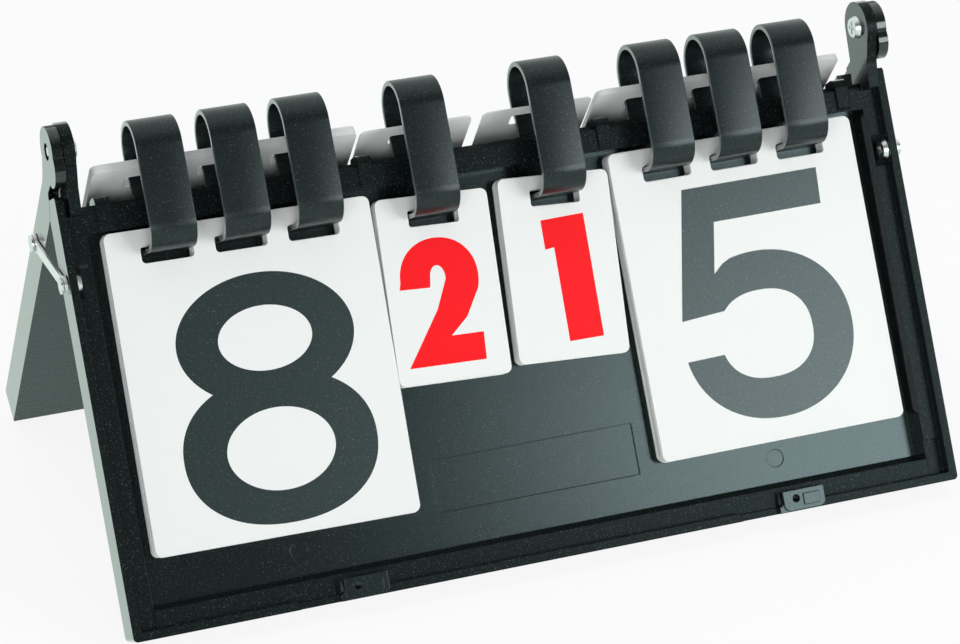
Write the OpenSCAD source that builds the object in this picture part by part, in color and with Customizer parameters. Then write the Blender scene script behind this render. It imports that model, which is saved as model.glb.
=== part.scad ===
// Tabletop flip scoreboard: two tray halves hinged along the top stand as an
// A-frame and carry numbered cards on plastic strap rings.
// Units: millimetres. Origin: middle of the footprint, on the table; +Z up,
// the front faces -Y. Each half is drawn flat: X along the hinge, Y = distance
// above the bottom rim, Z = height above the rim plane (negative into the tray).

/* [Case] */
// Width of the case along the hinge
case_w = 385; // [300:1:460]
// Bottom rim to hinge axis
hinge_v = 208.5; // [190:0.5:260]
// Depth of each half
shell_d = 16; // [14:0.5:24]
// Lean of each half from the vertical
lean = 32; // [28:0.5:36]
// Hinge axis in front of the rim plane
axis_w = 1; // [0.5:0.1:2]
// Thickness of the back panel of a half
panel_t = 3; // [2:0.1:4]
// Width of the raised rim lip
lip_w = 3.8; // [3:0.1:5]
// Drop from the lip to the ledge
lip_drop = 4; // [2:0.1:6]
// Outer edge to the inner edge of the ledge
ledge_x = 11.5; // [9:0.1:14]
// Outer edge to the foot of the tray wall
tray_x = 13.3; // [12:0.1:16]
// Rounding of the bottom outer corners
corner_r = 2; // [1:0.5:5]
// Top of the outer side wall of a half below the hinge axis
wall_drop = 19.5; // [17:0.5:24]
// Top edge of the front half below the hinge axis
front_drop = 26.5; // [24:0.5:30]
// Top edge of the rear panel below the hinge axis
rear_drop = 31.5; // [30:0.5:40]
// Gap between the two halves where they meet under the hinge
apex_gap = 0.4; // [0.3:0.05:0.8]

/* [Rail] */
// Top of the ring rail below the hinge axis
rail_drop = 24.5; // [22:0.5:27]
// Height of the ring rail
rail_h = 12; // [10:0.5:14]
// Depth of the ring rail
rail_d = 9; // [7.5:0.5:10]
// Width of a divider rib
rib_w = 6.2; // [4:0.1:8]
// Rise of a divider rib above the rail
rib_rise = 3; // [1:0.5:4]
// Middle of an outer rib from the end of the case
rib_inset = 20.5; // [19.5:0.5:24]

/* [Rings] */
// Strap width of a ring
strap_w = 20.2; // [14:0.1:24]
// Strap thickness
strap_t = 2.3; // [1.5:0.1:2.6]
// Middle radius of the ring top
ring_r = 12.6; // [11:0.1:13]
// Centre of the ring top below the hinge axis
ring_drop = 5.5; // [4:0.5:8]
// Depth of the ring top's centre
ring_w = -2.75; // [-3.5:0.05:-2]
// Centre of the lower curl below the underside of the rail
curl_drop = 1; // [0:0.5:3]
// Lower curl of a sets ring below that of a points ring
sets_sag = 3.45; // [0:0.05:4]
// Depth of the lower curl's centre
curl_w = -0.3; // [-1:0.1:0.5]
// Middle of the strap in the rail above the back of the case
root_up = 3.3; // [3:0.1:4]

/* [Cards] */
// End of the case to the outer edge of a points card
side_gap = 18.5; // [18:0.5:24]
// Gap between a points card and a sets card
card_gap = 1.85; // [1:0.05:4]
// Sets card to the middle of the case
mid_gap = 2.65; // [2:0.05:6]
// Points card to the lower wall of the tray
foot_gap = 18.85; // [10:0.05:40]
// Width of a sets card
sets_w = 51.5; // [40:0.5:52]
// Height of a sets card
sets_h = 81.5; // [60:0.5:110]
// Thickness of one card
card_t = 0.5; // [0.3:0.05:0.8]
// Thickness of a waiting pack
pack_t = 6.8; // [3:0.1:6.8]
// Thickness of the turned points cards on the left
turned_left_t = 4; // [1:0.1:4]
// Thickness of the turned points cards on the right
turned_right_t = 2.5; // [1:0.1:4]
// Thickness of the turned sets cards
turned_sets_t = 1; // [0.5:0.1:3]
// Slot length beyond the strap
slot_play = 2.7; // [2.4:0.1:4]
// Slot height
slot_h = 7.4; // [5.8:0.1:8]
// Card outside the end slots beyond a web between slots
slot_end = 5.45; // [0:0.05:8]
// Top edge to slot of a points card
slot_edge = 7.3; // [6:0.1:7.5]
// Top edge to slot of a sets card
sets_edge = 5.9; // [5:0.1:7.5]
// Rounding of the card corners
card_r = 3; // [1:0.5:6]
// Rounding of the slot corners
slot_r = 1.4; // [0.5:0.1:1.4]
// Sideways play of the points cards on their rings
points_play = 0.85; // [0:0.05:0.85]
// Sideways play of the sets cards on their rings
sets_play = 0.9; // [0:0.1:1]
// Hang angle of the left points card
hang_points_left = -0.7; // [-0.7:0.1:0.7]
// Hang angle of the right points card
hang_points_right = 0.2; // [-0.7:0.1:0.7]
// Hang angle of the left sets card
hang_sets_left = -2.2; // [-3.2:0.1:3.2]
// Hang angle of the right sets card
hang_sets_right = -3.2; // [-3.2:0.1:3.2]

/* [Hinge and stays] */
// Radius of the hinge screw shank
pin_r = 2; // [1.5:0.1:2.5]
// Running clearance round a pin
run_c = 0.05; // [0.02:0.01:0.1]
// Thickness of the outer hinge lug
outer_lug_t = 4.6; // [3:0.1:4.6]
// Thickness of the inner hinge lug
inner_lug_t = 4.9; // [4:0.1:6]
// Gap between the lugs
lug_gap = 0.3; // [0.3:0.05:0.5]
// Radius of the inner lug head
inner_lug_r = 11.6; // [8:0.1:12]
// Radius of the outer lug head
outer_lug_r = 10.8; // [6:0.1:11]
// Radius of the lobe on the outer lug
outer_lobe_r = 8.8; // [6:0.1:9]
// Radius of a hinge screw head
screw_head_r = 5.3; // [4:0.1:6]
// Thickness of a screw head
screw_head_t = 2.2; // [1.5:0.1:3]
// Catch pin below the hinge axis
catch_drop = 56; // [53:0.5:68]
// Depth of the catch pin and stay rivet
catch_w = -6; // [-8:0.5:-5]
// Stay rivet below the hinge axis
rivet_drop = 62.5; // [58:0.5:74]
// Width of a stay
stay_w = 5; // [4:0.1:7]
// Thickness of a stay
stay_t = 1.2; // [0.8:0.1:2]
// Gap between a stay and the side wall
stay_gap = 0.4; // [0.3:0.05:0.6]

/* [Latches] */
// Left end of the case to the first latch group
latch_left = 72.1; // [60:0.1:90]
// Right end of the case to the second latch group
latch_right = 107.4; // [90:0.1:120]
// Length of a latch recess
latch_recess_l = 21.2; // [18:0.1:24]
// Length of a latch tongue
latch_tongue_l = 19.8; // [16:0.1:21]
// Reach of a tongue from the bottom edge
latch_reach = 9.4; // [7:0.1:10]

/* [Panel] */
// Width of the label recess
label_w = 94.5; // [60:0.5:110]
// Height of the label recess
label_h = 23; // [12:0.5:30]
// Bottom of the label recess
label_v = 28.7; // [20:0.1:40]
// Depth of the label recess
label_d = 0.7; // [0.3:0.1:1.2]
// Radius of an ejector mark
mark_r = 4; // [2:0.1:6]
// Ejector mark to the end of the case
mark_inset = 80.5; // [60:0.5:100]
// Ejector mark above the bottom rim
mark_v = 24.3; // [22:0.1:40]

/* [Hidden] */
$fn = 48;
half_w = case_w / 2;
// heights in the flat frame of a half
wall_v = hinge_v - wall_drop;
front_v = hinge_v - front_drop;
rear_v = hinge_v - rear_drop;
rail_v1 = hinge_v - rail_drop;
rail_v0 = rail_v1 - rail_h;
rail_w = rail_d - shell_d;
rib_v = rail_v1 + rib_rise;
ring_v = hinge_v - ring_drop;
curl_v = rail_v0 - curl_drop;
root_w = root_up - shell_d;
catch_v = hinge_v - catch_drop;
rivet_v = hinge_v - rivet_drop;
// a narrow flat along the inner bottom edge of each half rests on the table
foot_h = 0.8;
axis_z = hinge_v * cos(lean) + (shell_d + axis_w) * sin(lean) - foot_h;
curl_r = ring_r + ring_w - curl_w;
strap_v = curl_v - curl_r;
slot_c = strap_v + 2 - slot_h / 2;
// a sets card hangs askew, so its slot stands a little higher on the strap
sets_slot_c = slot_c - sets_sag + 0.25;
pack_w = -shell_d + panel_t + 0.1;
card_face = pack_w + pack_t + 0.35;
// the turned cards cross the rear leg of the rings here
turn_v = ring_v - 7.26;
turn_w = ring_w - ring_r + 0.9;
// rings 4 and 5 carry the sets cards
function sag(i) = i == 3 || i == 4 ? sets_sag : 0;
// cards fill the tray from side to side, and their slots take the straps
slot_l = strap_w + slot_play;
points_w = half_w - side_gap - card_gap - sets_w - mid_gap;
points_h = slot_c + slot_h / 2 + slot_edge - tray_x - foot_gap;
slot_web = (points_w - 3 * slot_l - 2 * slot_end) / 4;
ring_pitch = slot_l + slot_web;
points_x = half_w - side_gap - points_w / 2 - points_play;
sets_x = mid_gap + sets_w / 2 + sets_play;
rib_x_out = half_w - rib_inset;
rib_x_in = mid_gap + sets_w + 1.35;
latch_x = latch_left - half_w;
latch_pitch = case_w - latch_left - latch_right;
lug_x = half_w - outer_lug_t - lug_gap;
socket_c = 0.1;
stay_dv = catch_rear()[0] - rivet_v;
stay_dw = catch_rear()[1] - catch_w;
stay_len = norm([stay_dv, stay_dw]);
stay_a = atan2(stay_dw, stay_dv);
ring_x = [-points_x - ring_pitch, -points_x, -points_x + ring_pitch, -sets_x,
          sets_x, points_x - ring_pitch, points_x, points_x + ring_pitch];

// catch pin centre in the flat frame of the rear half, [v, w]
function catch_rear() =
    let (s = catch_v - hinge_v, t = catch_w - axis_w,
         c = cos(2 * lean), d = sin(2 * lean))
    [hinge_v + s * c + t * d, axis_w + s * d - t * c];

// flat frame of the front half set up as it stands
module front_frame() {
    translate([0, 0, axis_z])
        rotate([90 - lean, 0, 0])
            translate([0, -hinge_v, -axis_w]) children();
}

// flat frame of the rear half set up as it stands
module rear_frame() {
    translate([0, 0, axis_z])
        rotate([lean, 0, 0])
            mirror([0, 1, 0])
                rotate([90, 0, 0])
                    translate([0, -hinge_v, -axis_w]) children();
}

// extrudes a side profile drawn in [v, w] from x0 to x1
module across(x0, x1) {
    translate([x0, 0, 0]) rotate([90, 0, 90]) linear_extrude(x1 - x0) children();
}

// a disc or bar lying along X
module pin(x0, x1, v, w, r) {
    translate([x0, v, w]) rotate([0, 90, 0]) cylinder(r = r, h = x1 - x0);
}

// outline of a half with rounded lower corners, inset from its three rims
module outline(inset, top) {
    r = max(corner_r - inset / 3, 0.6);
    hull() {
        for (s = [-1, 1])
            translate([s * (half_w - inset - r), inset + r]) circle(r = r, $fn = 32);
        translate([-half_w + inset, top - 1]) square([case_w - 2 * inset, 1]);
    }
}

// stepped tray common to both halves, solid up to "top", hollow up to "hollow"
module tray(top, hollow) {
    difference() {
        translate([0, 0, -shell_d]) linear_extrude(shell_d) outline(0, top);
        translate([0, 0, -lip_drop]) linear_extrude(shell_d) outline(lip_w, top + 5);
        hull() {
            translate([0, 0, -lip_drop]) linear_extrude(0.1) outline(ledge_x, hollow);
            translate([0, 0, -shell_d + panel_t]) linear_extrude(0.1) outline(tray_x, hollow);
        }
        // the ledge steps down beside the lower corners
        for (s = [-1, 1])
            translate([s * (half_w - lip_w - 3.9) - 3.9, lip_w, -lip_drop - 1])
                cube([7.8, 16, 4]);
    }
}

// side walls running up to the hinge, beyond the tray
module side_walls(v0) {
    for (s = [-1, 1])
        across(min(s * half_w, s * (half_w - lip_w)), max(s * half_w, s * (half_w - lip_w)))
            polygon([[v0, -shell_d], [v0, 0], [wall_v - 1, 0], [wall_v, -1], [wall_v, -shell_d]]);
}

// wedge removing what would pass the plane midway between the two halves
module apex_cut() {
    translate([0, hinge_v, axis_w]) rotate([lean, 0, 0])
        translate([-half_w - 5, -hinge_v, -2 * hinge_v])
            cube([case_w + 10, 2 * hinge_v, 2 * hinge_v + apex_gap / 2]);
}

// latch recess and tongue in the bottom rim; "swap" exchanges them
module latch_cut(swap) {
    for (k = [0, 1]) {
        x0 = latch_x + k * latch_pitch + (swap ? latch_recess_l + 0.4 : 0);
        translate([x0, 3, -lip_drop]) cube([latch_recess_l - 0.4, ledge_x - 3 - 1, 10]);
        translate([x0 + 1.2, -1, -2.2]) cube([latch_recess_l - 2.8, 6, 10]);
    }
}

module latch_tongue(swap) {
    for (k = [0, 1]) {
        x0 = latch_x + k * latch_pitch + (swap ? 0 : latch_recess_l + 0.4);
        difference() {
            union() {
                translate([x0, 0.4, -lip_drop - 1]) linear_extrude(lip_drop + 1.9)
                    hull() {
                        translate([3, 3]) circle(r = 3, $fn = 24);
                        translate([latch_tongue_l - 3, 3]) circle(r = 3, $fn = 24);
                        translate([0, latch_reach - 1.4]) square([latch_tongue_l, 1]);
                    }
                translate([x0 + 9.5, 2.2, 0]) cube([7.5, 5, 1.6]);
            }
            translate([x0 + 6, 5.6, -lip_drop]) cylinder(r = 1.7, h = 10);
        }
    }
}

// pockets and bores in the side frames for the catch pin or stay rivet
module side_bore(v) {
    for (s = [-1, 1]) {
        pin(s * half_w - 8, s * half_w + 8, v, catch_w, pin_r + run_c);
        translate([s * (half_w - lip_w - 3) - 3.2, v - 7, -shell_d + panel_t + 0.5])
            cube([6.4, 14, shell_d]);
    }
}

// inner hinge lugs with their necks (front half)
module inner_lugs() {
    for (s = [-1, 1]) {
        x0 = s > 0 ? lug_x - inner_lug_t : -lug_x;
        difference() {
            across(x0, x0 + inner_lug_t) union() {
                translate([hinge_v, axis_w]) circle(r = inner_lug_r, $fn = 64);
                polygon([[hinge_v, -inner_lug_r + axis_w], [hinge_v - 13, -11.8],
                         [front_v + 5, -13.6], [front_v - 2, -15], [front_v - 2, 0],
                         [front_v - 1.5, 3.4], [front_v + 4, 4.2], [hinge_v - 17, 5.4],
                         [hinge_v - 8, 9.8]]);
            }
            pin(x0 - 1, x0 + inner_lug_t + 1, hinge_v, axis_w, pin_r + run_c);
        }
    }
}

// outer hinge lugs with their arms (rear half)
module outer_lugs() {
    for (s = [-1, 1]) {
        x0 = s > 0 ? half_w - outer_lug_t : -half_w;
        difference() {
            across(x0, x0 + outer_lug_t) union() {
                translate([hinge_v, axis_w]) circle(r = outer_lug_r, $fn = 64);
                translate([hinge_v - 1.7, axis_w - 6.95]) circle(r = outer_lobe_r, $fn = 48);
                polygon([[hinge_v, -outer_lug_r + axis_w], [hinge_v - 9, -9.5], [wall_v + 2, -8.5],
                         [wall_v - 8, -shell_d], [wall_v - 14, -shell_d], [wall_v - 14, 0],
                         [wall_v - 2, 0], [wall_v + 3, 1.5], [hinge_v - 8, 6]]);
            }
            pin(x0 - 1, x0 + outer_lug_t + 1, hinge_v, axis_w, pin_r + run_c);
            pin(s > 0 ? half_w - 1.6 : -half_w - 1, s > 0 ? half_w + 1 : -half_w + 1.6,
                hinge_v, axis_w, 3.8);
        }
    }
}

// label recess and ejector marks on the panel
module panel_marks() {
    translate([0, 0, -shell_d + panel_t - label_d]) {
        linear_extrude(5)
            translate([-label_w / 2, label_v]) square([label_w, label_h]);
        for (s = [-1, 1])
            translate([s * (half_w - mark_inset), mark_v, label_d - 0.3])
                cylinder(r = mark_r, h = 2);
    }
}

// rail that carries the rings, with divider ribs
module rail() {
    across(-half_w + ledge_x - 1, half_w - ledge_x + 1)
        polygon([[rail_v0, -shell_d + 1], [rail_v0, rail_w - 2], [rail_v0 + 2, rail_w],
                 [rail_v1 - 2, rail_w], [rail_v1, rail_w - 2], [rail_v1, -shell_d + 1.5],
                 [rail_v1 - 1.5, -shell_d], [rail_v0, -shell_d]]);
    for (x = [-rib_x_out, -rib_x_in, rib_x_in, rib_x_out])
        across(x - rib_w / 2, x + rib_w / 2) union() {
            translate([rib_v - 4, -7]) circle(r = 4, $fn = 32);
            polygon([[rail_v0, -shell_d], [rail_v0, -5], [rail_v0 + 2, -3],
                     [rib_v - 4, -3], [rib_v, -7], [rib_v - 1, -13.5], [rib_v - 4.5, -shell_d]]);
        }
}

// openings in the front half that take the ends of the straps
module ring_sockets() {
    for (i = [0 : 7]) {
        x = ring_x[i];
        translate([x - strap_w / 2 - socket_c, rail_v0 + 3, root_w - strap_t / 2 - socket_c])
            cube([strap_w + 2 * socket_c, rail_h + rib_rise + 5, strap_t + 2 * socket_c]);
        translate([x - strap_w / 2 - socket_c, strap_v - sag(i) - strap_t / 2 - socket_c,
                   -shell_d - 1])
            cube([strap_w + 2 * socket_c, strap_t + 2 * socket_c, shell_d]);
    }
}

module below_table() {
    translate([-case_w, -case_w, -20]) cube([2 * case_w, 2 * case_w, 20]);
}

module front_shell() color([0.09, 0.1, 0.1]) difference() {
    front_frame() difference() {
        union() {
            difference() {
                union() {
                    tray(front_v, rail_v0);
                    side_walls(front_v - 1);
                    rail();
                }
                apex_cut();
            }
            inner_lugs();
            latch_tongue(false);
        }
        latch_cut(false);
        side_bore(catch_v);
        panel_marks();
        ring_sockets();
    }
    below_table();
}

module rear_shell() color([0.15, 0.16, 0.16]) difference() {
    rear_frame() difference() {
        union() {
            difference() {
                union() {
                    tray(rear_v, rear_v + 5);
                    side_walls(rear_v - 1);
                    across(-half_w + tray_x, half_w - tray_x)
                        polygon([[rear_v - 4, -shell_d + 1], [rear_v - 3, -shell_d + panel_t + 1.2],
                                 [rear_v - 1, -shell_d + panel_t + 1.2], [rear_v, -shell_d + 1]]);
                }
                apex_cut();
            }
            outer_lugs();
            latch_tongue(true);
        }
        latch_cut(true);
        side_bore(rivet_v);
    }
    below_table();
}

// arc points in [v, w]; angle 0 faces forward, 90 points up
function bend(cv, cw, r, a0, a1, n) =
    [for (i = [0 : n]) let (a = a0 + (a1 - a0) * i / n) [cv + r * sin(a), cw + r * cos(a)]];

// rear leg of the strap, top to bottom, "o" millimetres off its middle line
function rear_leg(o) =
    let (b = ring_w - ring_r, m = (root_w + b) / 2)
    [[ring_v - 4, b + o], [ring_v - 5.6, b + o + 0.15], [ring_v - 7.1, b + o + 0.55],
     [ring_v - 8.5, m + o], [ring_v - 9.9, root_w + o - 0.55], [ring_v - 11.4, root_w + o - 0.15],
     [ring_v - 13, root_w + o], [rail_v0 + 4, root_w + o]];

function reverse(list) = [for (i = [len(list) - 1 : -1 : 0]) list[i]];

// side profile of a ring, its lower curl "low" millimetres down, drawn in [v, w]
module ring_profile(low) {
    t = strap_t / 2;
    tail_w = -shell_d + 0.2;
    polygon(concat(
        [[strap_v - low - t, tail_w]],
        bend(curl_v - low, curl_w, curl_r + t, -90, 0, 18),
        bend(ring_v, ring_w, ring_r + t, 0, 180, 36),
        rear_leg(-t),
        reverse(rear_leg(t)),
        bend(ring_v, ring_w, ring_r - t, 180, 0, 36),
        bend(curl_v - low, curl_w, curl_r - t, 0, -90, 18),
        [[strap_v - low + t, tail_w]]));
}

module ring(i) color([0.13, 0.13, 0.14]) front_frame()
    across(ring_x[i] - strap_w / 2, ring_x[i] + strap_w / 2) ring_profile(sag(i));

module ring_1() ring(0);
module ring_2() ring(1);
module ring_3() ring(2);
module ring_4() ring(3);
module ring_5() ring(4);
module ring_6() ring(5);
module ring_7() ring(6);
module ring_8() ring(7);

// card outline with slots; the slot row lies on Y = 0, the card hangs to -Y
module card_shape(w, h, edge, slots, pitch) {
    difference() {
        translate([0, slot_h / 2 + edge - h / 2])
            offset(r = card_r, $fn = 32) square([w - 2 * card_r, h - 2 * card_r], center = true);
        for (i = [0 : slots - 1])
            translate([(i - (slots - 1) / 2) * pitch, 0])
                offset(r = slot_r, $fn = 24)
                    square([slot_l - 2 * slot_r, slot_h - 2 * slot_r], center = true);
    }
}

module front_cards(x, v, hang, w0, t) {
    front_frame() translate([x, v, w0]) rotate([0, 0, hang])
        linear_extrude(t) children();
}

module turned_cards(x, drop, t) {
    front_frame() translate([x, turn_v, turn_w]) rotate([2 * lean, 0, 0])
        translate([0, 3 - slot_h / 2, drop]) linear_extrude(t) children();
}

module points_shape() card_shape(points_w, points_h, slot_edge, 3, ring_pitch);
module sets_shape() card_shape(sets_w, sets_h, sets_edge, 1, ring_pitch);

module points_card_left() color("white")
    front_cards(-points_x - points_play, slot_c, hang_points_left, card_face, card_t) points_shape();

module points_card_right() color("white")
    front_cards(points_x + points_play, slot_c, hang_points_right, card_face, card_t) points_shape();

module sets_card_left() color("white")
    front_cards(-sets_x + sets_play, sets_slot_c, hang_sets_left, card_face, card_t) sets_shape();

module sets_card_right() color("white")
    front_cards(sets_x - sets_play, sets_slot_c, hang_sets_right, card_face, card_t) sets_shape();

module points_pack_left() color([0.93, 0.94, 0.93])
    front_cards(-points_x - points_play, slot_c, hang_points_left, pack_w, pack_t) points_shape();

module points_pack_right() color([0.93, 0.94, 0.93])
    front_cards(points_x + points_play, slot_c, hang_points_right, pack_w, pack_t) points_shape();

module sets_pack_left() color([0.93, 0.94, 0.93])
    front_cards(-sets_x + sets_play, sets_slot_c, hang_sets_left, pack_w, pack_t) sets_shape();

module sets_pack_right() color([0.93, 0.94, 0.93])
    front_cards(sets_x - sets_play, sets_slot_c, hang_sets_right, pack_w, pack_t) sets_shape();

module points_turned_left() color([0.9, 0.92, 0.9])
    turned_cards(-points_x - points_play, 0, turned_left_t) points_shape();

module points_turned_right() color([0.9, 0.92, 0.9])
    turned_cards(points_x + points_play, 4 - turned_right_t, turned_right_t) points_shape();

module sets_turned_left() color([0.9, 0.92, 0.9])
    turned_cards(-sets_x + sets_play, 4 - turned_sets_t, turned_sets_t) sets_shape();

module sets_turned_right() color([0.9, 0.92, 0.9])
    turned_cards(sets_x - sets_play, 4 - turned_sets_t, turned_sets_t) sets_shape();

// hinge screw: cross-recessed head inside, end sunk in the outer lug
module hinge_screw(s) color([0.72, 0.74, 0.74]) front_frame() {
    x_in = lug_x - inner_lug_t;
    difference() {
        union() {
            translate([s > 0 ? x_in - screw_head_t : -x_in, hinge_v, axis_w]) rotate([0, 90, 0])
                cylinder(r1 = s > 0 ? screw_head_r - 1 : screw_head_r,
                         r2 = s > 0 ? screw_head_r : screw_head_r - 1, h = screw_head_t);
            pin(min(s * (x_in - 0.5), s * (half_w - 0.4)), max(s * (x_in - 0.5), s * (half_w - 0.4)),
                hinge_v, axis_w, pin_r);
        }
        for (q = [0, 90])
            translate([s * (x_in - screw_head_t), hinge_v, axis_w]) rotate([q + 20, 0, 0])
                cube([2.6, 5.6, 1.1], center = true);
    }
}

module hinge_screw_left() hinge_screw(-1);
module hinge_screw_right() hinge_screw(1);

// catch pin through the front side wall: flanged outside, domed head inside
module catch_screw(s) color([0.8, 0.82, 0.82]) front_frame() {
    x_in = half_w - lip_w;
    x_out = half_w + stay_gap + stay_t + 0.4;
    difference() {
        union() {
            pin(min(s * x_in, s * x_out), max(s * x_in, s * x_out), catch_v, catch_w, pin_r);
            pin(min(s * x_out, s * (x_out + 1)), max(s * x_out, s * (x_out + 1)),
                catch_v, catch_w, 3.6);
            translate([s > 0 ? x_in - 2 : -x_in, catch_v, catch_w]) rotate([0, 90, 0])
                cylinder(r1 = s > 0 ? 4 : 5, r2 = s > 0 ? 5 : 4, h = 2);
        }
        for (q = [0, 90])
            translate([s * (x_in - 2), catch_v, catch_w]) rotate([q + 35, 0, 0])
                cube([2, 5, 1], center = true);
    }
}

module catch_screw_left() catch_screw(-1);
module catch_screw_right() catch_screw(1);

// stay rivet through the rear side wall
module stay_rivet(s) color([0.8, 0.82, 0.82]) rear_frame() {
    x_in = half_w - lip_w;
    x_out = half_w + stay_gap + stay_t + 0.3;
    pin(min(s * x_in, s * x_out), max(s * x_in, s * x_out), rivet_v, catch_w, pin_r);
    pin(min(s * x_out, s * (x_out + 0.9)), max(s * x_out, s * (x_out + 0.9)), rivet_v, catch_w, 3.8);
    pin(min(s * (x_in - 1.2), s * x_in), max(s * (x_in - 1.2), s * x_in), rivet_v, catch_w, 3.4);
}

module stay_rivet_left() stay_rivet(-1);
module stay_rivet_right() stay_rivet(1);

// flat stay: pivots on the rear rivet and hooks over the front catch pin
module stay(s) color([0.86, 0.88, 0.87]) rear_frame() {
    x0 = s > 0 ? half_w + stay_gap : -half_w - stay_gap - stay_t;
    translate([x0, rivet_v, catch_w]) rotate([stay_a, 0, 0]) rotate([90, 0, 90])
        linear_extrude(stay_t) difference() {
            union() {
                circle(r = 4.2);
                translate([0, -stay_w / 2]) square([stay_len, stay_w]);
                translate([stay_len, 0]) circle(r = 4.2);
            }
            circle(r = pin_r + run_c);
            translate([stay_len, 0]) circle(r = pin_r + 0.3);
            translate([stay_len - pin_r - 0.3, -2 * stay_w])
                square([2 * pin_r + 0.6, 2 * stay_w]);
        }
}

module stay_left() stay(-1);
module stay_right() stay(1);

front_shell();
rear_shell();
ring_1();
ring_2();
ring_3();
ring_4();
ring_5();
ring_6();
ring_7();
ring_8();
points_card_left();
points_card_right();
sets_card_left();
sets_card_right();
points_pack_left();
points_pack_right();
sets_pack_left();
sets_pack_right();
points_turned_left();
points_turned_right();
sets_turned_left();
sets_turned_right();
hinge_screw_left();
hinge_screw_right();
catch_screw_left();
catch_screw_right();
stay_rivet_left();
stay_rivet_right();
stay_left();
stay_right();
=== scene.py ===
"""Looks of a tabletop flip scoreboard, laid out as a Blender add-on and run as a script."""

import math

import bpy
from bpy.props import FloatProperty, FloatVectorProperty, IntProperty, PointerProperty
from mathutils import Matrix, Vector


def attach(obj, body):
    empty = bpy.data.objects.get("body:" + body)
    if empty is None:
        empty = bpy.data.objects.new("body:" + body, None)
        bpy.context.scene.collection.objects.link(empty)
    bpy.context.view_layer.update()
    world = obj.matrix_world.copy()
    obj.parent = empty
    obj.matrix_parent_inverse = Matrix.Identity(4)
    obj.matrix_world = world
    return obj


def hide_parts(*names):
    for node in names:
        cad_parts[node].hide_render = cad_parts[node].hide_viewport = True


bl_info = {
    "name": "Flip scoreboard",
    "version": (1, 0, 0),
    "blender": (4, 5, 0),
    "location": "3D View > Sidebar > Scoreboard",
    "description": "Builds the looks of a folding tabletop scoreboard round its CAD frame",
    "category": "Object",
}

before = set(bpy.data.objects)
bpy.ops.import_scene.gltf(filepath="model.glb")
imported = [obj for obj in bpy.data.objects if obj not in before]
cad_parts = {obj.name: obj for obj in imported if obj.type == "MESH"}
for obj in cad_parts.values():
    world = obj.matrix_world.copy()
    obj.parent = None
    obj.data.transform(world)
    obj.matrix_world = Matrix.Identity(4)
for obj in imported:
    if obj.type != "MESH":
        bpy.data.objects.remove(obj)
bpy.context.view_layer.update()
MM = 0.001

# sizes shared with the construction, in millimetres and degrees
LEAN = 32.0
HINGE_V = 208.5
AXIS_W = 1.0
SHELL_D = 16.0
FOOT = 0.8
AXIS_Z = (
    HINGE_V * math.cos(math.radians(LEAN))
    + (SHELL_D + AXIS_W) * math.sin(math.radians(LEAN))
    - FOOT
)
POINTS_RINGS = (-146.65, -114.15, -81.65, 81.65, 114.15, 146.65)
SETS_RINGS = (-29.3, 29.3)
SAG = 3.45
RING_R, RING_V, RING_W = 12.6, 203.0, -2.75
CURL_R, CURL_V, CURL_W = 10.15, 171.0, -0.3
ROOT_W, RAIL_V0 = -12.7, 172.0
STRAP_W, STRAP_T = 20.2, 2.3
PANEL_T = 3.0
CATCH_X = (-102.4, 103.1)
CATCH_W, CATCH_H = 26.0, 18.0
LEDGE_STEP = 1.5
SLOT_H, SLOT_L = 7.4, 22.9
SLOT_V = CURL_V - CURL_R + 2.0 - SLOT_H / 2
SETS_SLOT_V = SLOT_V - SAG + 0.25
PACK_W, PACK_T = -12.9, 6.8
CARD_FACE = PACK_W + PACK_T + 0.35
TURN_V, TURN_W, TURN_LIFT = 195.74, -14.45, 3.0
POINTS = {"w": 118.0, "h": 138.0, "edge": 7.3, "slots": 3, "row": SLOT_V, "round": 1.8}
SETS = {"w": 51.5, "h": 81.5, "edge": 5.9, "slots": 1, "row": SETS_SLOT_V, "round": 1.3}
PITCH = 32.5
CARD_BEVEL, PACK_BEVEL = 0.06, 0.05
INK_HALF, INK_LIFT = 0.012, 0.014
TURN_PER_PLAY = 0.01
# group, side, kind, middle, hanging angle, figure and (offset, depth, count) of the turned pack
CARD_GROUPS = (
    ("points", "left", POINTS, -115.0, -0.7, 8, (0.0, 4.0, 8)),
    ("points", "right", POINTS, 115.0, 0.2, 5, (1.5, 2.5, 5)),
    ("sets", "left", SETS, -28.4, -2.2, 2, (3.0, 1.0, 2)),
    ("sets", "right", SETS, 28.4, -3.2, 1, (3.0, 1.0, 1)),
)

# finishes: material slots of a tray half, tints of the gloss, pale flecks that paint glints, and
# fixed colours, the lighter grey of the strap sides among them being a painted sheen
WALL, PANEL, OUTSIDE, LEDGE = range(4)
CASE_TINT = (0.72, 0.98, 1.0, 1)
STRAP_TINT = (0.72, 0.96, 1.0, 1)
FIGURE_TINT = (0.8, 0.98, 1.0, 1)
# painted glints: pale fleck colours that stand in for the moulded grain catching the light
CASE_GLINT_FLECK = (0.05, 0.062, 0.062)
STRAP_GLINT_FLECK = (0.045, 0.056, 0.058)
FIGURE_GLINT_FLECK = (0.07, 0.085, 0.085)
OUTSIDE_COLOR = (0.02, 0.024, 0.026)
# painted sheen: the strap sides are a lighter grey than the strap itself, standing in for the
# light their glossy edges catch
STRAP_SIDE_PAINTED_SHEEN = (0.11, 0.13, 0.13)
STAY_COLOR = (0.85, 0.87, 0.86)
FINE_GRAIN, COARSE_GRAIN = 2600, 900
# sizes of the painted glint flecks
GLINT_FLECK_SCALE, STRAP_GLINT_FLECK_SCALE = 1500, 1700

# stage: lights as (size, azimuth, height), in metres and degrees
KEY_PLACE = ((1.1, 0.9), 37, 19.5)
FILL_PLACE = ((1.8, 1.0), -24, 18)
LIGHT_DISTANCE, LIGHT_AIM = 2.2, 0.09
FLOOR_REACH, FLOOR_DROP = 12.0, 0.0002
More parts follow.
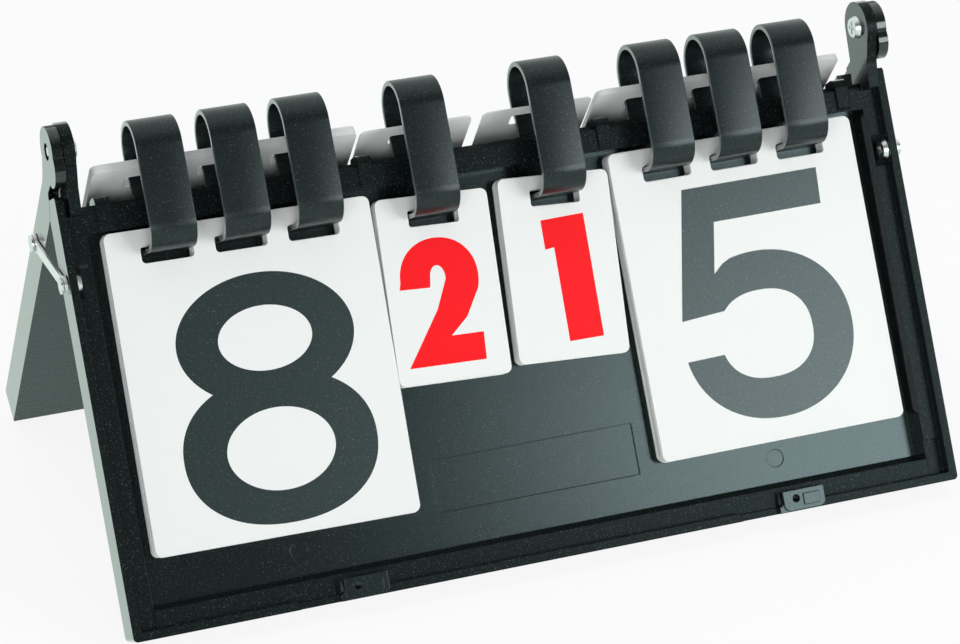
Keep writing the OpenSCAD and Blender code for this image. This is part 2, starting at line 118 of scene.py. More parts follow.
# camera: angles in degrees, place along its own right, down and forward directions in
# millimetres from the left end of the hinge line, focal length and image width in pixels
YAW, PITCH_DOWN, ROLL = 21.1, 29.3, -0.7
EYE_RIGHT, EYE_DOWN, EYE_BACK = 181.2, 71.5, 1482.8
EYE_FROM = (-192.5, 0, AXIS_Z + FOOT - 0.3)
FOCAL, IMAGE_W, SENSOR_W = 3549, 960, 36


# ---------------------------------------------------------------- frames

def front(*extra):
    """Flat frame of the front half: x, height along the half, height above the rim plane."""
    m = (
        Matrix.Scale(MM, 4)
        @ Matrix.Translation((0, 0, AXIS_Z))
        @ Matrix.Rotation(math.radians(90 - LEAN), 4, "X")
        @ Matrix.Translation((0, -HINGE_V, -AXIS_W))
    )
    for e in extra:
        m = m @ e
    return m


def hung(kind, x, w, turn):
    """Frame of a card hanging in front: slots on its X axis, face along +Z."""
    return front(
        Matrix.Translation((x, kind["row"], w)), Matrix.Rotation(math.radians(turn), 4, "Z")
    )


def turned(x, w):
    """Frame of a card hanging over the rear half."""
    return front(
        Matrix.Translation((x, TURN_V, TURN_W)),
        Matrix.Rotation(math.radians(2 * LEAN), 4, "X"),
        Matrix.Translation((0, TURN_LIFT - SLOT_H / 2, w)),
    )


# ---------------------------------------------------------------- shapes

def arc(cx, cy, rx, ry, a0, a1, n, power=2.0):
    """Points of an elliptical arc, squarer with a higher power; angles in degrees."""
    out = []
    for i in range(n + 1):
        a = math.radians(a0 + (a1 - a0) * i / n)
        c, q = math.cos(a), math.sin(a)
        out.append((
            cx + rx * math.copysign(abs(c) ** (2 / power), c),
            cy + ry * math.copysign(abs(q) ** (2 / power), q),
        ))
    return out


def rounded(x0, y0, x1, y1, r, n=8):
    """Rounded rectangle, anticlockwise."""
    out = []
    for cx, cy, a in (
        (x1 - r, y0 + r, -90),
        (x1 - r, y1 - r, 0),
        (x0 + r, y1 - r, 90),
        (x0 + r, y0 + r, 180),
    ):
        out += arc(cx, cy, r, r, a, a + 90, n)
    return out


def plate(name, loops, half, bevel=0.0):
    """Flat plate from closed loops, the inner ones holes, centred on Z = 0, in millimetres."""
    curve = bpy.data.curves.new(name, "CURVE")
    curve.dimensions = "2D"
    curve.fill_mode = "BOTH"
    curve.extrude = max(half - bevel, 0.0)
    curve.bevel_depth = bevel
    curve.bevel_resolution = 1
    curve.offset = -bevel
    for loop in loops:
        s = curve.splines.new("POLY")
        s.points.add(len(loop) - 1)
        for p, (x, y) in zip(s.points, loop):
            p.co = (x, y, 0, 1)
        s.use_cyclic_u = True
    obj = bpy.data.objects.new(name, curve)
    bpy.context.scene.collection.objects.link(obj)
    deps = bpy.context.evaluated_depsgraph_get()
    mesh = bpy.data.meshes.new_from_object(obj.evaluated_get(deps))
    bpy.data.objects.remove(obj)
    mesh.name = name
    return mesh


def put(name, mesh, matrix, materials=(), smooth=30.0):
    """New object at the world origin with its place baked into the mesh."""
    if matrix is not None:
        mesh.transform(matrix)
    for m in materials:
        mesh.materials.append(m)
    obj = bpy.data.objects.new(name, mesh)
    bpy.context.scene.collection.objects.link(obj)
    if smooth:
        for p in mesh.polygons:
            p.use_smooth = True
        mesh.set_sharp_from_angle(angle=math.radians(smooth))
    return obj


def card_loops(kind, corner=3.0):
    """Outline and slots of a card; the slots lie on Y = 0."""
    w, h = kind["w"], kind["h"]
    top = SLOT_H / 2 + kind["edge"]
    loops = [rounded(-w / 2, top - h, w / 2, top, corner)]
    for i in range(kind["slots"]):
        x = (i - (kind["slots"] - 1) / 2) * PITCH
        loops.append(rounded(
            x - SLOT_L / 2, -SLOT_H / 2, x + SLOT_L / 2, SLOT_H / 2, kind["round"], 6))
    return loops


# ---------------------------------------------------------------- geometry nodes

def group(name, inputs):
    """Empty geometry node group with a geometry input, the named inputs and a geometry output."""
    g = bpy.data.node_groups.new(name, "GeometryNodeTree")
    g.interface.new_socket("Geometry", in_out="INPUT", socket_type="NodeSocketGeometry")
    for label, kind in inputs:
        g.interface.new_socket(label, in_out="INPUT", socket_type=kind)
    g.interface.new_socket("Geometry", in_out="OUTPUT", socket_type="NodeSocketGeometry")
    return g, g.nodes.new("NodeGroupInput"), g.nodes.new("NodeGroupOutput")


def negated(g, socket):
    """Output socket that gives minus the value of a socket."""
    node = g.nodes.new("ShaderNodeMath")
    node.operation = "MULTIPLY"
    node.inputs[1].default_value = -1.0
    g.links.new(socket, node.inputs[0])
    return node.outputs[0]


def stack_group():
    """Repeats one card along Z with a little play from card to card."""
    g, gi, go = group(
        "card_stack",
        (
            ("Count", "NodeSocketInt"),
            ("Pitch", "NodeSocketFloat"),
            ("Play", "NodeSocketFloat"),
            ("Turn", "NodeSocketFloat"),
            ("Seed", "NodeSocketInt"),
            ("Material", "NodeSocketMaterial"),
        ),
    )
    n, k = g.nodes, g.links
    offset = n.new("ShaderNodeCombineXYZ")
    line = n.new("GeometryNodeMeshLine")
    inst = n.new("GeometryNodeInstanceOnPoints")
    turn = n.new("FunctionNodeRandomValue")
    spin = n.new("ShaderNodeCombineXYZ")
    shift = n.new("FunctionNodeRandomValue")
    shift.data_type = "FLOAT_VECTOR"
    lo = n.new("ShaderNodeCombineXYZ")
    hi = n.new("ShaderNodeCombineXYZ")
    move = n.new("GeometryNodeTranslateInstances")
    real = n.new("GeometryNodeRealizeInstances")
    mat = n.new("GeometryNodeSetMaterial")
    k.new(gi.outputs["Pitch"], offset.inputs["Z"])
    k.new(gi.outputs["Count"], line.inputs["Count"])
    k.new(offset.outputs[0], line.inputs["Offset"])
    k.new(line.outputs[0], inst.inputs["Points"])
    k.new(gi.outputs["Geometry"], inst.inputs["Instance"])
    k.new(negated(g, gi.outputs["Turn"]), turn.inputs[2])
    k.new(gi.outputs["Turn"], turn.inputs[3])
    k.new(gi.outputs["Seed"], turn.inputs["Seed"])
    k.new(turn.outputs[1], spin.inputs["Z"])
    k.new(spin.outputs[0], inst.inputs["Rotation"])
    back = negated(g, gi.outputs["Play"])
    for a in ("X", "Y"):
        k.new(back, lo.inputs[a])
        k.new(gi.outputs["Play"], hi.inputs[a])
    k.new(lo.outputs[0], shift.inputs[0])
    k.new(hi.outputs[0], shift.inputs[1])
    k.new(gi.outputs["Seed"], shift.inputs["Seed"])
    k.new(inst.outputs[0], move.inputs["Instances"])
    k.new(shift.outputs[0], move.inputs["Translation"])
    k.new(move.outputs[0], real.inputs[0])
    k.new(real.outputs[0], mat.inputs["Geometry"])
    k.new(gi.outputs["Material"], mat.inputs["Material"])
    k.new(mat.outputs[0], go.inputs[0])
    return g


def row_group():
    """Sets one copy of a source object on each point."""
    g, gi, go = group(
        "row", (("Source", "NodeSocketObject"), ("Material", "NodeSocketMaterial"))
    )
    n, k = g.nodes, g.links
    info = n.new("GeometryNodeObjectInfo")
    inst = n.new("GeometryNodeInstanceOnPoints")
    real = n.new("GeometryNodeRealizeInstances")
    mat = n.new("GeometryNodeSetMaterial")
    k.new(gi.outputs["Source"], info.inputs["Object"])
    k.new(gi.outputs["Geometry"], inst.inputs["Points"])
    k.new(info.outputs["Geometry"], inst.inputs["Instance"])
    k.new(inst.outputs[0], real.inputs[0])
    k.new(real.outputs[0], mat.inputs["Geometry"])
    k.new(gi.outputs["Material"], mat.inputs["Material"])
    k.new(mat.outputs[0], go.inputs[0])
    return g


def run_nodes(name, mesh, g, values):
    """Runs a node group on a mesh and gives the resulting mesh."""
    obj = bpy.data.objects.new(name, mesh)
    bpy.context.scene.collection.objects.link(obj)
    mod = obj.modifiers.new(name, "NODES")
    mod.node_group = g
    ids = {
        s.name: s.identifier
        for s in g.interface.items_tree
        if s.item_type == "SOCKET" and s.in_out == "INPUT"
    }
    for label, value in values.items():
        mod[ids[label]] = value
    obj.update_tag()
    deps = bpy.context.evaluated_depsgraph_get()
    out = bpy.data.meshes.new_from_object(obj.evaluated_get(deps))
    obj.modifiers.remove(mod)
    bpy.data.objects.remove(obj)
    return out


# ---------------------------------------------------------------- materials

def principled(name, color, rough, **more):
    """Plain principled material."""
    m = bpy.data.materials.get(name) or bpy.data.materials.new(name)
    m.use_nodes = True
    b = m.node_tree.nodes["Principled BSDF"]
    b.inputs["Base Color"].default_value = (*color[:3], 1)
    b.inputs["Roughness"].default_value = rough
    for label, value in more.items():
        b.inputs[label.replace("_", " ")].default_value = value
    return m


def edge_and_grain(m, radius, grain, strength, distance=0.00006):
    """Rounds edges in shading and adds a fine moulded grain in object space."""
    t = m.node_tree
    n, k = t.nodes, t.links
    b = n["Principled BSDF"]
    coord = n.new("ShaderNodeTexCoord")
    noise = n.new("ShaderNodeTexNoise")
    noise.inputs["Scale"].default_value = grain
    noise.inputs["Detail"].default_value = 3
    bump = n.new("ShaderNodeBump")
    bump.inputs["Strength"].default_value = strength
    bump.inputs["Distance"].default_value = distance
    bevel = n.new("ShaderNodeBevel")
    bevel.samples = 6
    bevel.inputs["Radius"].default_value = radius
    k.new(coord.outputs["Object"], noise.inputs["Vector"])
    k.new(noise.outputs[0], bump.inputs["Height"])
    k.new(bevel.outputs[0], bump.inputs["Normal"])
    k.new(bump.outputs[0], b.inputs["Normal"])
    return m


def painted_glint_flecks(m, color, scale, share):
    """Paints glints: scatters fine pale flecks over a dark moulding's base colour, in object
    space, standing in for its grain catching the light.
    """
    t = m.node_tree
    n, k = t.nodes, t.links
    b = n["Principled BSDF"]
    coord = n.new("ShaderNodeTexCoord")
    noise = n.new("ShaderNodeTexNoise")
    noise.inputs["Scale"].default_value = scale
    noise.inputs["Detail"].default_value = 1
    ramp = n.new("ShaderNodeValToRGB")
    base = tuple(b.inputs["Base Color"].default_value)
    ramp.color_ramp.elements[0].position = share
    ramp.color_ramp.elements[0].color = base
    ramp.color_ramp.elements[1].position = min(share + 0.1, 1.0)
    ramp.color_ramp.elements[1].color = (*color, 1)
    k.new(coord.outputs["Object"], noise.inputs["Vector"])
    k.new(noise.outputs[0], ramp.inputs[0])
    k.new(ramp.outputs[0], b.inputs["Base Color"])
    return m


def let_through(m, share):
    """Lets a share of the light from behind through a thin sheet."""
    t = m.node_tree
    b = t.nodes["Principled BSDF"]
    glow = t.nodes.new("ShaderNodeBsdfTranslucent")
    glow.inputs[0].default_value = b.inputs["Base Color"].default_value
    mix = t.nodes.new("ShaderNodeMixShader")
    mix.inputs[0].default_value = share
    t.links.new(b.outputs[0], mix.inputs[1])
    t.links.new(glow.outputs[0], mix.inputs[2])
    t.links.new(mix.outputs[0], t.nodes["Material Output"].inputs[0])
    return m


def paint(obj, *materials):
    """Gives a CAD node its materials."""
    obj.data.materials.clear()
    for m in materials:
        obj.data.materials.append(m)


# ---------------------------------------------------------------- settings

class CaseSettings(bpy.types.PropertyGroup):
    """Look of the two case halves"""

    color: FloatVectorProperty(
        name="Colour", description="Moulded colour", subtype="COLOR", size=3,
        default=(0.004, 0.0058, 0.0058), min=0, max=1)
    roughness: FloatProperty(
        name="Roughness", description="Roughness of the moulding", subtype="FACTOR",
        default=0.19, min=0, max=1)
    grain: FloatProperty(
        name="Grain", description="Strength of the moulded grain", subtype="FACTOR",
        default=0.35, min=0, max=1)


class RingSettings(bpy.types.PropertyGroup):
    """Look of the strap rings"""

    color: FloatVectorProperty(
        name="Colour", description="Strap colour", subtype="COLOR", size=3,
        default=(0.005, 0.0072, 0.0076), min=0, max=1)
    roughness: FloatProperty(
        name="Roughness", description="Roughness of the straps", subtype="FACTOR",
        default=0.33, min=0, max=1)
    edge: FloatProperty(
        name="Edge radius", description="Rounding of the strap edges", subtype="DISTANCE",
        unit="LENGTH", precision=5, default=0.45 * MM, min=0.2 * MM, max=1.1 * MM)


class CardSettings(bpy.types.PropertyGroup):
    """Look of the cards and their figures"""

    color: FloatVectorProperty(
        name="Card colour", description="Colour of the card stock", subtype="COLOR", size=3,
        default=(0.9, 0.92, 0.91), min=0, max=1)
    points_color: FloatVectorProperty(
        name="Points figures", description="Colour of the points figures", subtype="COLOR",
        size=3, default=(0.015, 0.026, 0.025), min=0, max=1)
    sets_color: FloatVectorProperty(
        name="Sets figures", description="Colour of the sets figures", subtype="COLOR", size=3,
        default=(0.95, 0.004, 0.009), min=0, max=1)
    thickness: FloatProperty(
        name="Card thickness", description="Thickness of one card", subtype="DISTANCE",
        unit="LENGTH", precision=5, default=0.42 * MM, min=0.2 * MM, max=0.5 * MM)
    left_count: IntProperty(
        name="Waiting left", description="Points cards waiting on the left", default=12, min=1,
        max=14)
    right_count: IntProperty(
        name="Waiting right", description="Points cards waiting on the right", default=14, min=1,
        max=14)
    sets_count: IntProperty(
        name="Waiting sets", description="Sets cards waiting in each pack", default=5, min=1,
        max=12)
    play: FloatProperty(
        name="Play", description="Sideways play from card to card", subtype="DISTANCE",
        unit="LENGTH", precision=5, default=0.3 * MM, min=0, max=0.5 * MM)
    seed: IntProperty(name="Seed", description="Seed of the card play", default=4, min=0)


class MetalSettings(bpy.types.PropertyGroup):
    """Look of the screws, rivets and stays"""

    color: FloatVectorProperty(
        name="Plating", description="Colour of the plated steel", subtype="COLOR", size=3,
        default=(0.74, 0.76, 0.75), min=0, max=1)
    roughness: FloatProperty(
        name="Roughness", description="Roughness of the plated steel", subtype="FACTOR",
        default=0.28, min=0, max=1)


class StageSettings(bpy.types.PropertyGroup):
    """Floor, light and camera"""

    floor: FloatVectorProperty(
        name="Floor", description="Colour of the floor", subtype="COLOR", size=3,
        default=(0.9, 0.92, 0.91), min=0, max=1)
    floor_share: FloatProperty(
        name="Floor share", description="Share of plain white that is seen on the floor",
        subtype="FACTOR", default=0.88, min=0, max=1)
    key: FloatProperty(name="Key", description="Brightness of the soft light on the right",
                       default=6.5, min=0)
    fill: FloatProperty(name="Fill", description="Brightness of the soft light on the left",
                        default=3.4, min=0)
    sky_front: FloatProperty(name="Front", description="Even light in front of the case",
                             default=0.09, min=0)
    sky_back: FloatProperty(name="Back", description="Even light behind the case",
                            default=1.0, min=0)


# ---------------------------------------------------------------- pieces

def rear_leg(o):
    """Rear leg of a strap, top to bottom, o millimetres off its middle line."""
    b = RING_W - RING_R
    return [
        (199, b + o), (197.4, b + o + 0.15), (195.9, b + o + 0.55), (194.5, (ROOT_W + b) / 2 + o),
        (193.1, ROOT_W + o - 0.55), (191.6, ROOT_W + o - 0.15), (190, ROOT_W + o),
        (RAIL_V0 + 4, ROOT_W + o),
    ]


def strap_path(low):
    """Middle line of a strap in (height, depth), its lower curl "low" millimetres down."""
    pts = [(CURL_V - low - CURL_R, -SHELL_D + 0.2), (CURL_V - low - CURL_R, -6.0)]
    pts += [(v, w) for w, v in arc(CURL_W, CURL_V - low, CURL_R, CURL_R, -90, 0, 20)]
    pts += [(v, w) for w, v in arc(RING_W, RING_V, RING_R, RING_R, 0, 180, 44)]
    return pts + rear_leg(0)


def sweep_strap(edge, low):
    """Strap with rounded edges along its path, as a mesh in millimetres in the flat frame."""
    path = strap_path(low)
    half = STRAP_T / 2
    section = rounded(-STRAP_W / 2, -half, STRAP_W / 2, half, edge, 4)
    verts, faces = [], []
    for i, (v, w) in enumerate(path):
        a = path[max(i - 1, 0)]
        b = path[min(i + 1, len(path) - 1)]
        d = Vector((b[0] - a[0], b[1] - a[1])).normalized()
        nv, nw = -d.y, d.x
        verts += [(x, v + nv * q, w + nw * q) for x, q in section]
    m = len(section)
    for i in range(len(path) - 1):
        for j in range(m):
            j2 = (j + 1) % m
            faces.append((i * m + j, i * m + j2, (i + 1) * m + j2, (i + 1) * m + j))
    faces.append(tuple(reversed(range(m))))
    faces.append(tuple((len(path) - 1) * m + j for j in range(m)))
    mesh = bpy.data.meshes.new("strap")
    mesh.from_pydata(verts, [], faces)
    mesh.update()
    return mesh


def joined(upper, lower):
    """Outline of two overlapping closed loops, the upper one first, both anticlockwise."""
    def crossings(a, b):
        hits = []
        for i, p in enumerate(a):
            q = a[(i + 1) % len(a)]
            for j, r in enumerate(b):
                t = b[(j + 1) % len(b)]
                d = (q[0] - p[0]) * (t[1] - r[1]) - (q[1] - p[1]) * (t[0] - r[0])
                if abs(d) < 1e-12:
                    continue
                u = ((r[0] - p[0]) * (t[1] - r[1]) - (r[1] - p[1]) * (t[0] - r[0])) / d
                v = ((r[0] - p[0]) * (q[1] - p[1]) - (r[1] - p[1]) * (q[0] - p[0])) / d
                if 0 <= u < 1 and 0 <= v < 1:
                    hits.append((i, j, (p[0] + u * (q[0] - p[0]), p[1] + u * (q[1] - p[1]))))
        return sorted(hits, key=lambda h: h[2][0])

    def walk(loop, start, end):
        out, k = [], (start + 1) % len(loop)
        while k != (end + 1) % len(loop):
            out.append(loop[k])
            k = (k + 1) % len(loop)
        return out

    left, right = crossings(upper, lower)
    return ([right[2]] + walk(upper, right[0], left[0]) + [left[2]]
            + walk(lower, left[1], right[1]))


def figure_loops(n):
    """Outlines of a printed figure, in millimetres from the bottom middle of its card."""
    if n == 8:
        upper = arc(3.51, 84.42, 39.52, 28.14, 0, 360, 96)[:-1]
        lower = arc(2.44, 37.01, 43.0, 32.08, 0, 360, 96, 2.2)[:-1]
        return [
            joined(upper, lower),
            arc(3.4, 84.39, 20.87, 13.96, 360, 0, 60)[:-1],
            arc(2.5, 36.73, 24.06, 17.72, 360, 0, 60)[:-1],
        ]
    if n == 5:
        bowl = arc(1.4, 47.55, 41.08, 37.56, -171.4, 106, 90, 2.1)
        inner = arc(0.51, 47.92, 22.51, 19.72, 141.3, -165.1, 60, 2.3)
        return [[(-27.42, 117.3), (-38.41, 59.56)] + inner + bowl
                + [(-14.6, 81.9), (-19.1, 78.0), (-14.91, 100.86), (37.71, 101.01),
                   (38.54, 117.34)]]
    if n == 2:
        outer = arc(-1.22, 44.83, 17.84, 17.78, -19.7, 180, 48, 2.1)
        inner = arc(-1.91, 45.08, 3.49, 5.53, 180, -7.7, 24)
        return [
            [(-20.2, 7.4), (15.01, 7.4), (15.33, 19.45), (0.7, 19.45), (8.9, 26.83)] + outer
            + [(-19.89, 41.6), (-6.0, 41.28)] + inner + [(-3.99, 31.52)]
        ]
    return [[(-1.43, 7.76), (14.57, 8.62), (12.02, 63.31), (-8.14, 61.83), (-7.53, 48.82),
             (-3.33, 49.56)]]


def card_object(name, kind, frame, thick, material):
    """One shown card, its back on the frame's Z = 0."""
    mesh = plate(name, card_loops(kind), thick / 2, CARD_BEVEL)
    mesh.transform(Matrix.Translation((0, 0, thick / 2)))
    return put(name, mesh, frame, (material,))


def stack_object(name, kind, frame, thick, count, depth, play, seed, material):
    """Pack of cards filling the depth, back card on the frame's Z = 0."""
    one = plate(name, card_loops(kind), thick / 2, PACK_BEVEL)
    one.transform(Matrix.Translation((0, 0, thick / 2)))
    pitch = (depth - thick) / max(count - 1, 1)
    mesh = run_nodes(
        name, one, stack_group(),
        {"Count": count, "Pitch": pitch, "Play": play, "Turn": TURN_PER_PLAY * play,
         "Seed": seed, "Material": material},
    )
    return put(name, mesh, frame)


def sort_faces(obj, way):
    """Gives the faces of a tray half the finish of wall, panel, outside or ledge."""
    lean = math.radians(LEAN)
    opening = Vector((0, way * math.cos(lean), math.sin(lean)))
    mesh = obj.data
    depth = [v.co.dot(opening) for v in mesh.vertices]
    back = min(depth)
    foot = min(v.co.z for v in mesh.vertices)
    for p in mesh.polygons:
        facing = p.normal.dot(opening)
        level = (p.center.dot(opening) - back) / MM
        corners = [mesh.vertices[i].co for i in p.vertices]
        catch = any(
            all(c.z - foot < CATCH_H * MM and 0 < c.x / MM - x < CATCH_W for c in corners)
            for x in CATCH_X
        )
        if facing < -0.9 and level < 1:
            p.material_index = OUTSIDE
        elif facing > 0.5 and (catch or level < PANEL_T + LEDGE_STEP):
            p.material_index = PANEL
        elif facing > 0.5:
            p.material_index = LEDGE
        else:
            p.material_index = WALL


# ---------------------------------------------------------------- operators

class SCORE_OT_case(bpy.types.Operator):
    """Finishes the two tray halves"""

    bl_idname = "score.case"
    bl_label = "Case halves"

    def execute(self, context):
        s = context.scene.score_case
        # each finish of the case gets painted glints, pale flecks in its base colour
        wall = painted_glint_flecks(edge_and_grain(
            principled("case_black", s.color, s.roughness, Specular_Tint=CASE_TINT,
                       Specular_IOR_Level=0.25, Coat_Weight=1.0, Coat_Roughness=0.1),
            0.0005, FINE_GRAIN, s.grain), CASE_GLINT_FLECK, GLINT_FLECK_SCALE, 0.64)
        panel = painted_glint_flecks(edge_and_grain(
            principled("panel_black", s.color, s.roughness, Specular_Tint=CASE_TINT),
            0.0004, FINE_GRAIN, s.grain), CASE_GLINT_FLECK, GLINT_FLECK_SCALE, 0.64)
        outside = edge_and_grain(
            principled("grained_black", OUTSIDE_COLOR, 0.34, Specular_Tint=CASE_TINT),
            0.0005, COARSE_GRAIN, 1.0, 0.0003)
        ledge = painted_glint_flecks(edge_and_grain(
            principled("ledge_black", s.color, 0.36, Specular_Tint=CASE_TINT,
                       Specular_IOR_Level=0.12),
            0.0006, FINE_GRAIN, s.grain), CASE_GLINT_FLECK, GLINT_FLECK_SCALE, 0.62)
        for node, way in (("front_shell", -1), ("rear_shell", 1)):
            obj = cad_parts[node]
            paint(obj, wall, panel, outside, ledge)
            sort_faces(obj, way)
        return {"FINISHED"}


class SCORE_OT_rings(bpy.types.Operator):
    """Builds the eight strap rings"""

    bl_idname = "score.rings"
    bl_label = "Strap rings"

    def execute(self, context):
        s = context.scene.score_rings
        # painted glints: pale flecks in the strap's base colour
        m = painted_glint_flecks(edge_and_grain(
            principled("strap_black", s.color, s.roughness, Specular_Tint=STRAP_TINT,
                       Specular_IOR_Level=0.3, Coat_Weight=0.3, Coat_Roughness=0.2),
            0.0003, 3000, 0.2), STRAP_GLINT_FLECK, STRAP_GLINT_FLECK_SCALE, 0.62)
        # the strap sides take a lighter grey base colour, a painted sheen, on top of their clear
        # coat
        side = principled("strap_side_painted_sheen", STRAP_SIDE_PAINTED_SHEEN, 0.2, Coat_Weight=1.0,
                          Coat_Roughness=0.06)
        for name, row, low, nodes in (
            ("points_rings", POINTS_RINGS, 0.0, (1, 2, 3, 6, 7, 8)),
            ("sets_rings", SETS_RINGS, SAG, (4, 5)),
        ):
            source = bpy.data.objects.new("strap_source", sweep_strap(s.edge / MM, low))
            context.scene.collection.objects.link(source)
            points = bpy.data.meshes.new("strap_points")
            points.from_pydata([(x, 0, 0) for x in row], [], [])
            mesh = run_nodes(name, points, row_group(), {"Source": source, "Material": m})
            bpy.data.objects.remove(source)
            mesh.materials.clear()
            obj = put(name, mesh, front(), (m, side))
            # faces turned sideways get the painted sheen
            for p in obj.data.polygons:
                p.material_index = int(abs(p.normal.x) > 0.6)
            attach(obj, "front_half")
            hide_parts(*["ring_%d" % i for i in nodes])
        return {"FINISHED"}


class SCORE_OT_cards(bpy.types.Operator):
    """Builds the shown, waiting and turned cards and their figures"""

    bl_idname = "score.cards"
    bl_label = "Cards"

    def execute(self, context):
        s = context.scene.score_cards
        thick, play = s.thickness / MM, s.play / MM
        white = let_through(principled("card_white", s.color, 0.42), 0.1)
        # painted glints: pale flecks in the base colour of the points figures
        grey = painted_glint_flecks(
            principled("figure_grey", s.points_color, 0.26, Specular_Tint=FIGURE_TINT),
            FIGURE_GLINT_FLECK, GLINT_FLECK_SCALE, 0.64)
        red = principled("figure_red", s.sets_color, 0.42, Specular_IOR_Level=0.15)
        for group_name, side, kind, x, hang, figure, _ in CARD_GROUPS:
            name = "%s_card_%s" % (group_name, side)
            f = hung(kind, x, CARD_FACE, hang)
            obj = card_object(name + "_sheet", kind, f, thick, white)
            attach(obj, "top_" + name)
            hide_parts(name)
            mesh = plate(name + "_figure", figure_loops(figure), INK_HALF)
            drop = SLOT_H / 2 + kind["edge"] - kind["h"]
            mesh.transform(Matrix.Translation((0, drop, thick + INK_LIFT)))
            fig = put(name + "_figure", mesh, f, (grey if kind is POINTS else red,), 0)
            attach(fig, "top_" + name)
        waiting = (s.left_count, s.right_count, s.sets_count, s.sets_count + 1)
        for i, (group_name, side, kind, x, hang, _, _) in enumerate(CARD_GROUPS):
            name = "%s_pack_%s" % (group_name, side)
            obj = stack_object(name + "_sheets", kind, hung(kind, x, PACK_W, hang), thick,
                               waiting[i], PACK_T, play, s.seed + i, white)
            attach(obj, "front_half")
            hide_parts(name)
        # the turned cards lie without play, so that their slots clear the rings when they swing
        for i, (group_name, side, kind, x, _, _, (w, depth, count)) in enumerate(CARD_GROUPS):
            name = "%s_turned_%s" % (group_name, side)
            obj = stack_object(name + "_sheets", kind, turned(x, w), thick, count, depth,
                               0.0, s.seed + 10 + i, white)
            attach(obj, name + "_stack")
            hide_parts(name)
        return {"FINISHED"}


class SCORE_OT_metal(bpy.types.Operator):
    """Finishes the screws, rivets and stays"""

    bl_idname = "score.metal"
    bl_label = "Screws and stays"

    def execute(self, context):
        s = context.scene.score_metal
        zinc = edge_and_grain(
            principled("zinc", s.color, s.roughness, Metallic=1.0), 0.0003, COARSE_GRAIN, 0.1)
        bright = edge_and_grain(
            principled("stay_steel", STAY_COLOR, 0.3, Metallic=0.75), 0.0002, 700, 0.1)
        for side in ("left", "right"):
            for node in ("hinge_screw_", "catch_screw_", "stay_rivet_"):
                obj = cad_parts[node + side]
                paint(obj, zinc)
            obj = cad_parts["stay_" + side]
            paint(obj, bright)
        return {"FINISHED"}


def area(name, radiance, size, azimuth, height):
    """Soft light aimed at the middle of the case; azimuth from the front to the right."""
    light = bpy.data.lights.new(name, "AREA")
    light.shape = "RECTANGLE"
    light.size, light.size_y = size
    light.energy = radiance * math.pi * size[0] * size[1]
    a, e = math.radians(azimuth), math.radians(height)
    way = Vector((math.sin(a) * math.cos(e), -math.cos(a) * math.cos(e), math.sin(e)))
    obj = bpy.data.objects.new(name, light)
    obj.location = way * LIGHT_DISTANCE + Vector((0, 0, LIGHT_AIM))
    obj.rotation_euler = way.to_track_quat("Z", "Y").to_euler()
    bpy.context.scene.collection.objects.link(obj)
    return obj


def pale_floor(color, share):
    """Floor that the camera and reflections see close to white, with the shadow kept."""
    m = principled("floor_pale", color, 0.8, Specular_IOR_Level=0.2)
    t = m.node_tree
    n, k = t.nodes, t.links
    path = n.new("ShaderNodeLightPath")
    seen = n.new("ShaderNodeMath")
    seen.operation = "MAXIMUM"
    k.new(path.outputs["Is Camera Ray"], seen.inputs[0])
    k.new(path.outputs["Is Glossy Ray"], seen.inputs[1])
    part = n.new("ShaderNodeMath")
    part.operation = "MULTIPLY"
    part.inputs[1].default_value = share
    k.new(seen.outputs[0], part.inputs[0])
    glow = n.new("ShaderNodeEmission")
    tone = n.new("ShaderNodeMix")
    tone.data_type = "RGBA"
    tone.inputs[6].default_value = (1, 1, 1, 1)
    tone.inputs[7].default_value = (0.85, 1.0, 0.93, 1)
    k.new(path.outputs["Is Glossy Ray"], tone.inputs[0])
    k.new(tone.outputs[2], glow.inputs[0])
    mix = n.new("ShaderNodeMixShader")
    k.new(part.outputs[0], mix.inputs[0])
    k.new(n["Principled BSDF"].outputs[0], mix.inputs[1])
    k.new(glow.outputs[0], mix.inputs[2])
    k.new(mix.outputs[0], n["Material Output"].inputs[0])
    return m


def studio_world(dim, bright):
    """Even light that is brighter behind and above the case than in front of it."""
    world = bpy.data.worlds.new("studio")
    world.use_nodes = True
    t = world.node_tree
    n, k = t.nodes, t.links
    coord = n.new("ShaderNodeTexCoord")
    dot = n.new("ShaderNodeVectorMath")
    dot.operation = "DOT_PRODUCT"
    dot.inputs[1].default_value = (0, 0.9, 0.3)
    ramp = n.new("ShaderNodeMapRange")
    ramp.interpolation_type = "SMOOTHSTEP"
    for label, value in (
        ("From Min", -0.35), ("From Max", 0.55), ("To Min", dim), ("To Max", bright)
    ):
        ramp.inputs[label].default_value = value
    k.new(coord.outputs["Generated"], dot.inputs[0])
    k.new(dot.outputs["Value"], ramp.inputs["Value"])
    bg = n["Background"]
    bg.inputs[0].default_value = (0.95, 1.0, 0.98, 1)
    k.new(ramp.outputs[0], bg.inputs[1])
    return world


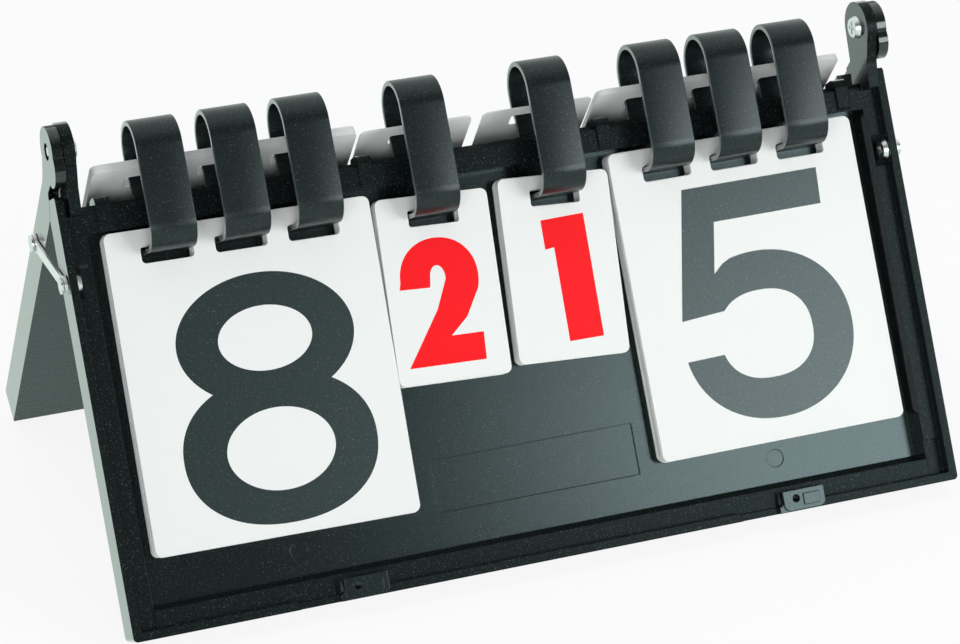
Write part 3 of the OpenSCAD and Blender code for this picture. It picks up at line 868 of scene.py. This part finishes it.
class SCORE_OT_stage(bpy.types.Operator):
    """Sets the floor, lights and camera"""

    bl_idname = "score.stage"
    bl_label = "Stage"

    def execute(self, context):
        s = context.scene.score_stage
        mesh = bpy.data.meshes.new("floor")
        r = FLOOR_REACH
        mesh.from_pydata([(-r, -r, 0), (r, -r, 0), (r, r, 0), (-r, r, 0)], [], [(0, 1, 2, 3)])
        floor = put("floor", mesh, None, (pale_floor(s.floor, s.floor_share),), 0)
        floor.location.z = -FLOOR_DROP
        key = area("key", s.key, *KEY_PLACE)
        fill = area("fill", s.fill, *FILL_PLACE)
        context.scene.world = studio_world(s.sky_front, s.sky_back)
        yaw, pitch, roll = (math.radians(a) for a in (YAW, PITCH_DOWN, ROLL))
        fwd = Vector((math.sin(yaw) * math.cos(pitch), math.cos(yaw) * math.cos(pitch),
                      -math.sin(pitch)))
        right = Vector((math.cos(yaw), -math.sin(yaw), 0))
        down = fwd.cross(right)
        r2 = math.cos(roll) * right + math.sin(roll) * down
        d2 = -math.sin(roll) * right + math.cos(roll) * down
        eye = (EYE_RIGHT * r2 + EYE_DOWN * d2 - EYE_BACK * fwd + Vector(EYE_FROM)) * MM
        cam = bpy.data.cameras.new("camera")
        cam.lens = SENSOR_W * FOCAL / IMAGE_W
        cam.clip_start = 0.01
        obj = bpy.data.objects.new("camera", cam)
        obj.matrix_world = Matrix((
            (r2.x, -d2.x, -fwd.x, eye.x),
            (r2.y, -d2.y, -fwd.y, eye.y),
            (r2.z, -d2.z, -fwd.z, eye.z),
            (0, 0, 0, 1),
        ))
        context.scene.collection.objects.link(obj)
        context.scene.camera = obj
        context.scene.view_settings.view_transform = "Standard"
        return {"FINISHED"}


class SCORE_PT_panel(bpy.types.Panel):
    """Pieces of the scoreboard"""

    bl_label = "Scoreboard"
    bl_idname = "SCORE_PT_panel"
    bl_space_type = "VIEW_3D"
    bl_region_type = "UI"
    bl_category = "Scoreboard"

    def draw(self, context):
        for settings, op in (
            ("score_case", "score.case"), ("score_rings", "score.rings"),
            ("score_cards", "score.cards"), ("score_metal", "score.metal"),
            ("score_stage", "score.stage"),
        ):
            box = self.layout.box()
            values = getattr(context.scene, settings)
            for p in values.bl_rna.properties:
                if p.identifier not in ("rna_type", "name"):
                    box.prop(values, p.identifier)
            box.operator(op)


SETTINGS = {
    "score_case": CaseSettings,
    "score_rings": RingSettings,
    "score_cards": CardSettings,
    "score_metal": MetalSettings,
    "score_stage": StageSettings,
}
CLASSES = (*SETTINGS.values(), SCORE_OT_case, SCORE_OT_rings, SCORE_OT_cards, SCORE_OT_metal,
           SCORE_OT_stage, SCORE_PT_panel)


def register():
    for c in CLASSES:
        bpy.utils.register_class(c)
    for name, c in SETTINGS.items():
        setattr(bpy.types.Scene, name, PointerProperty(type=c))


def unregister():
    for name in SETTINGS:
        delattr(bpy.types.Scene, name)
    for c in reversed(CLASSES):
        bpy.utils.unregister_class(c)


def main():
    register()
    bpy.ops.score.case()
    bpy.ops.score.rings()
    bpy.ops.score.cards()
    bpy.ops.score.metal()
    bpy.ops.score.stage()


if __name__ == "__main__":
    main()
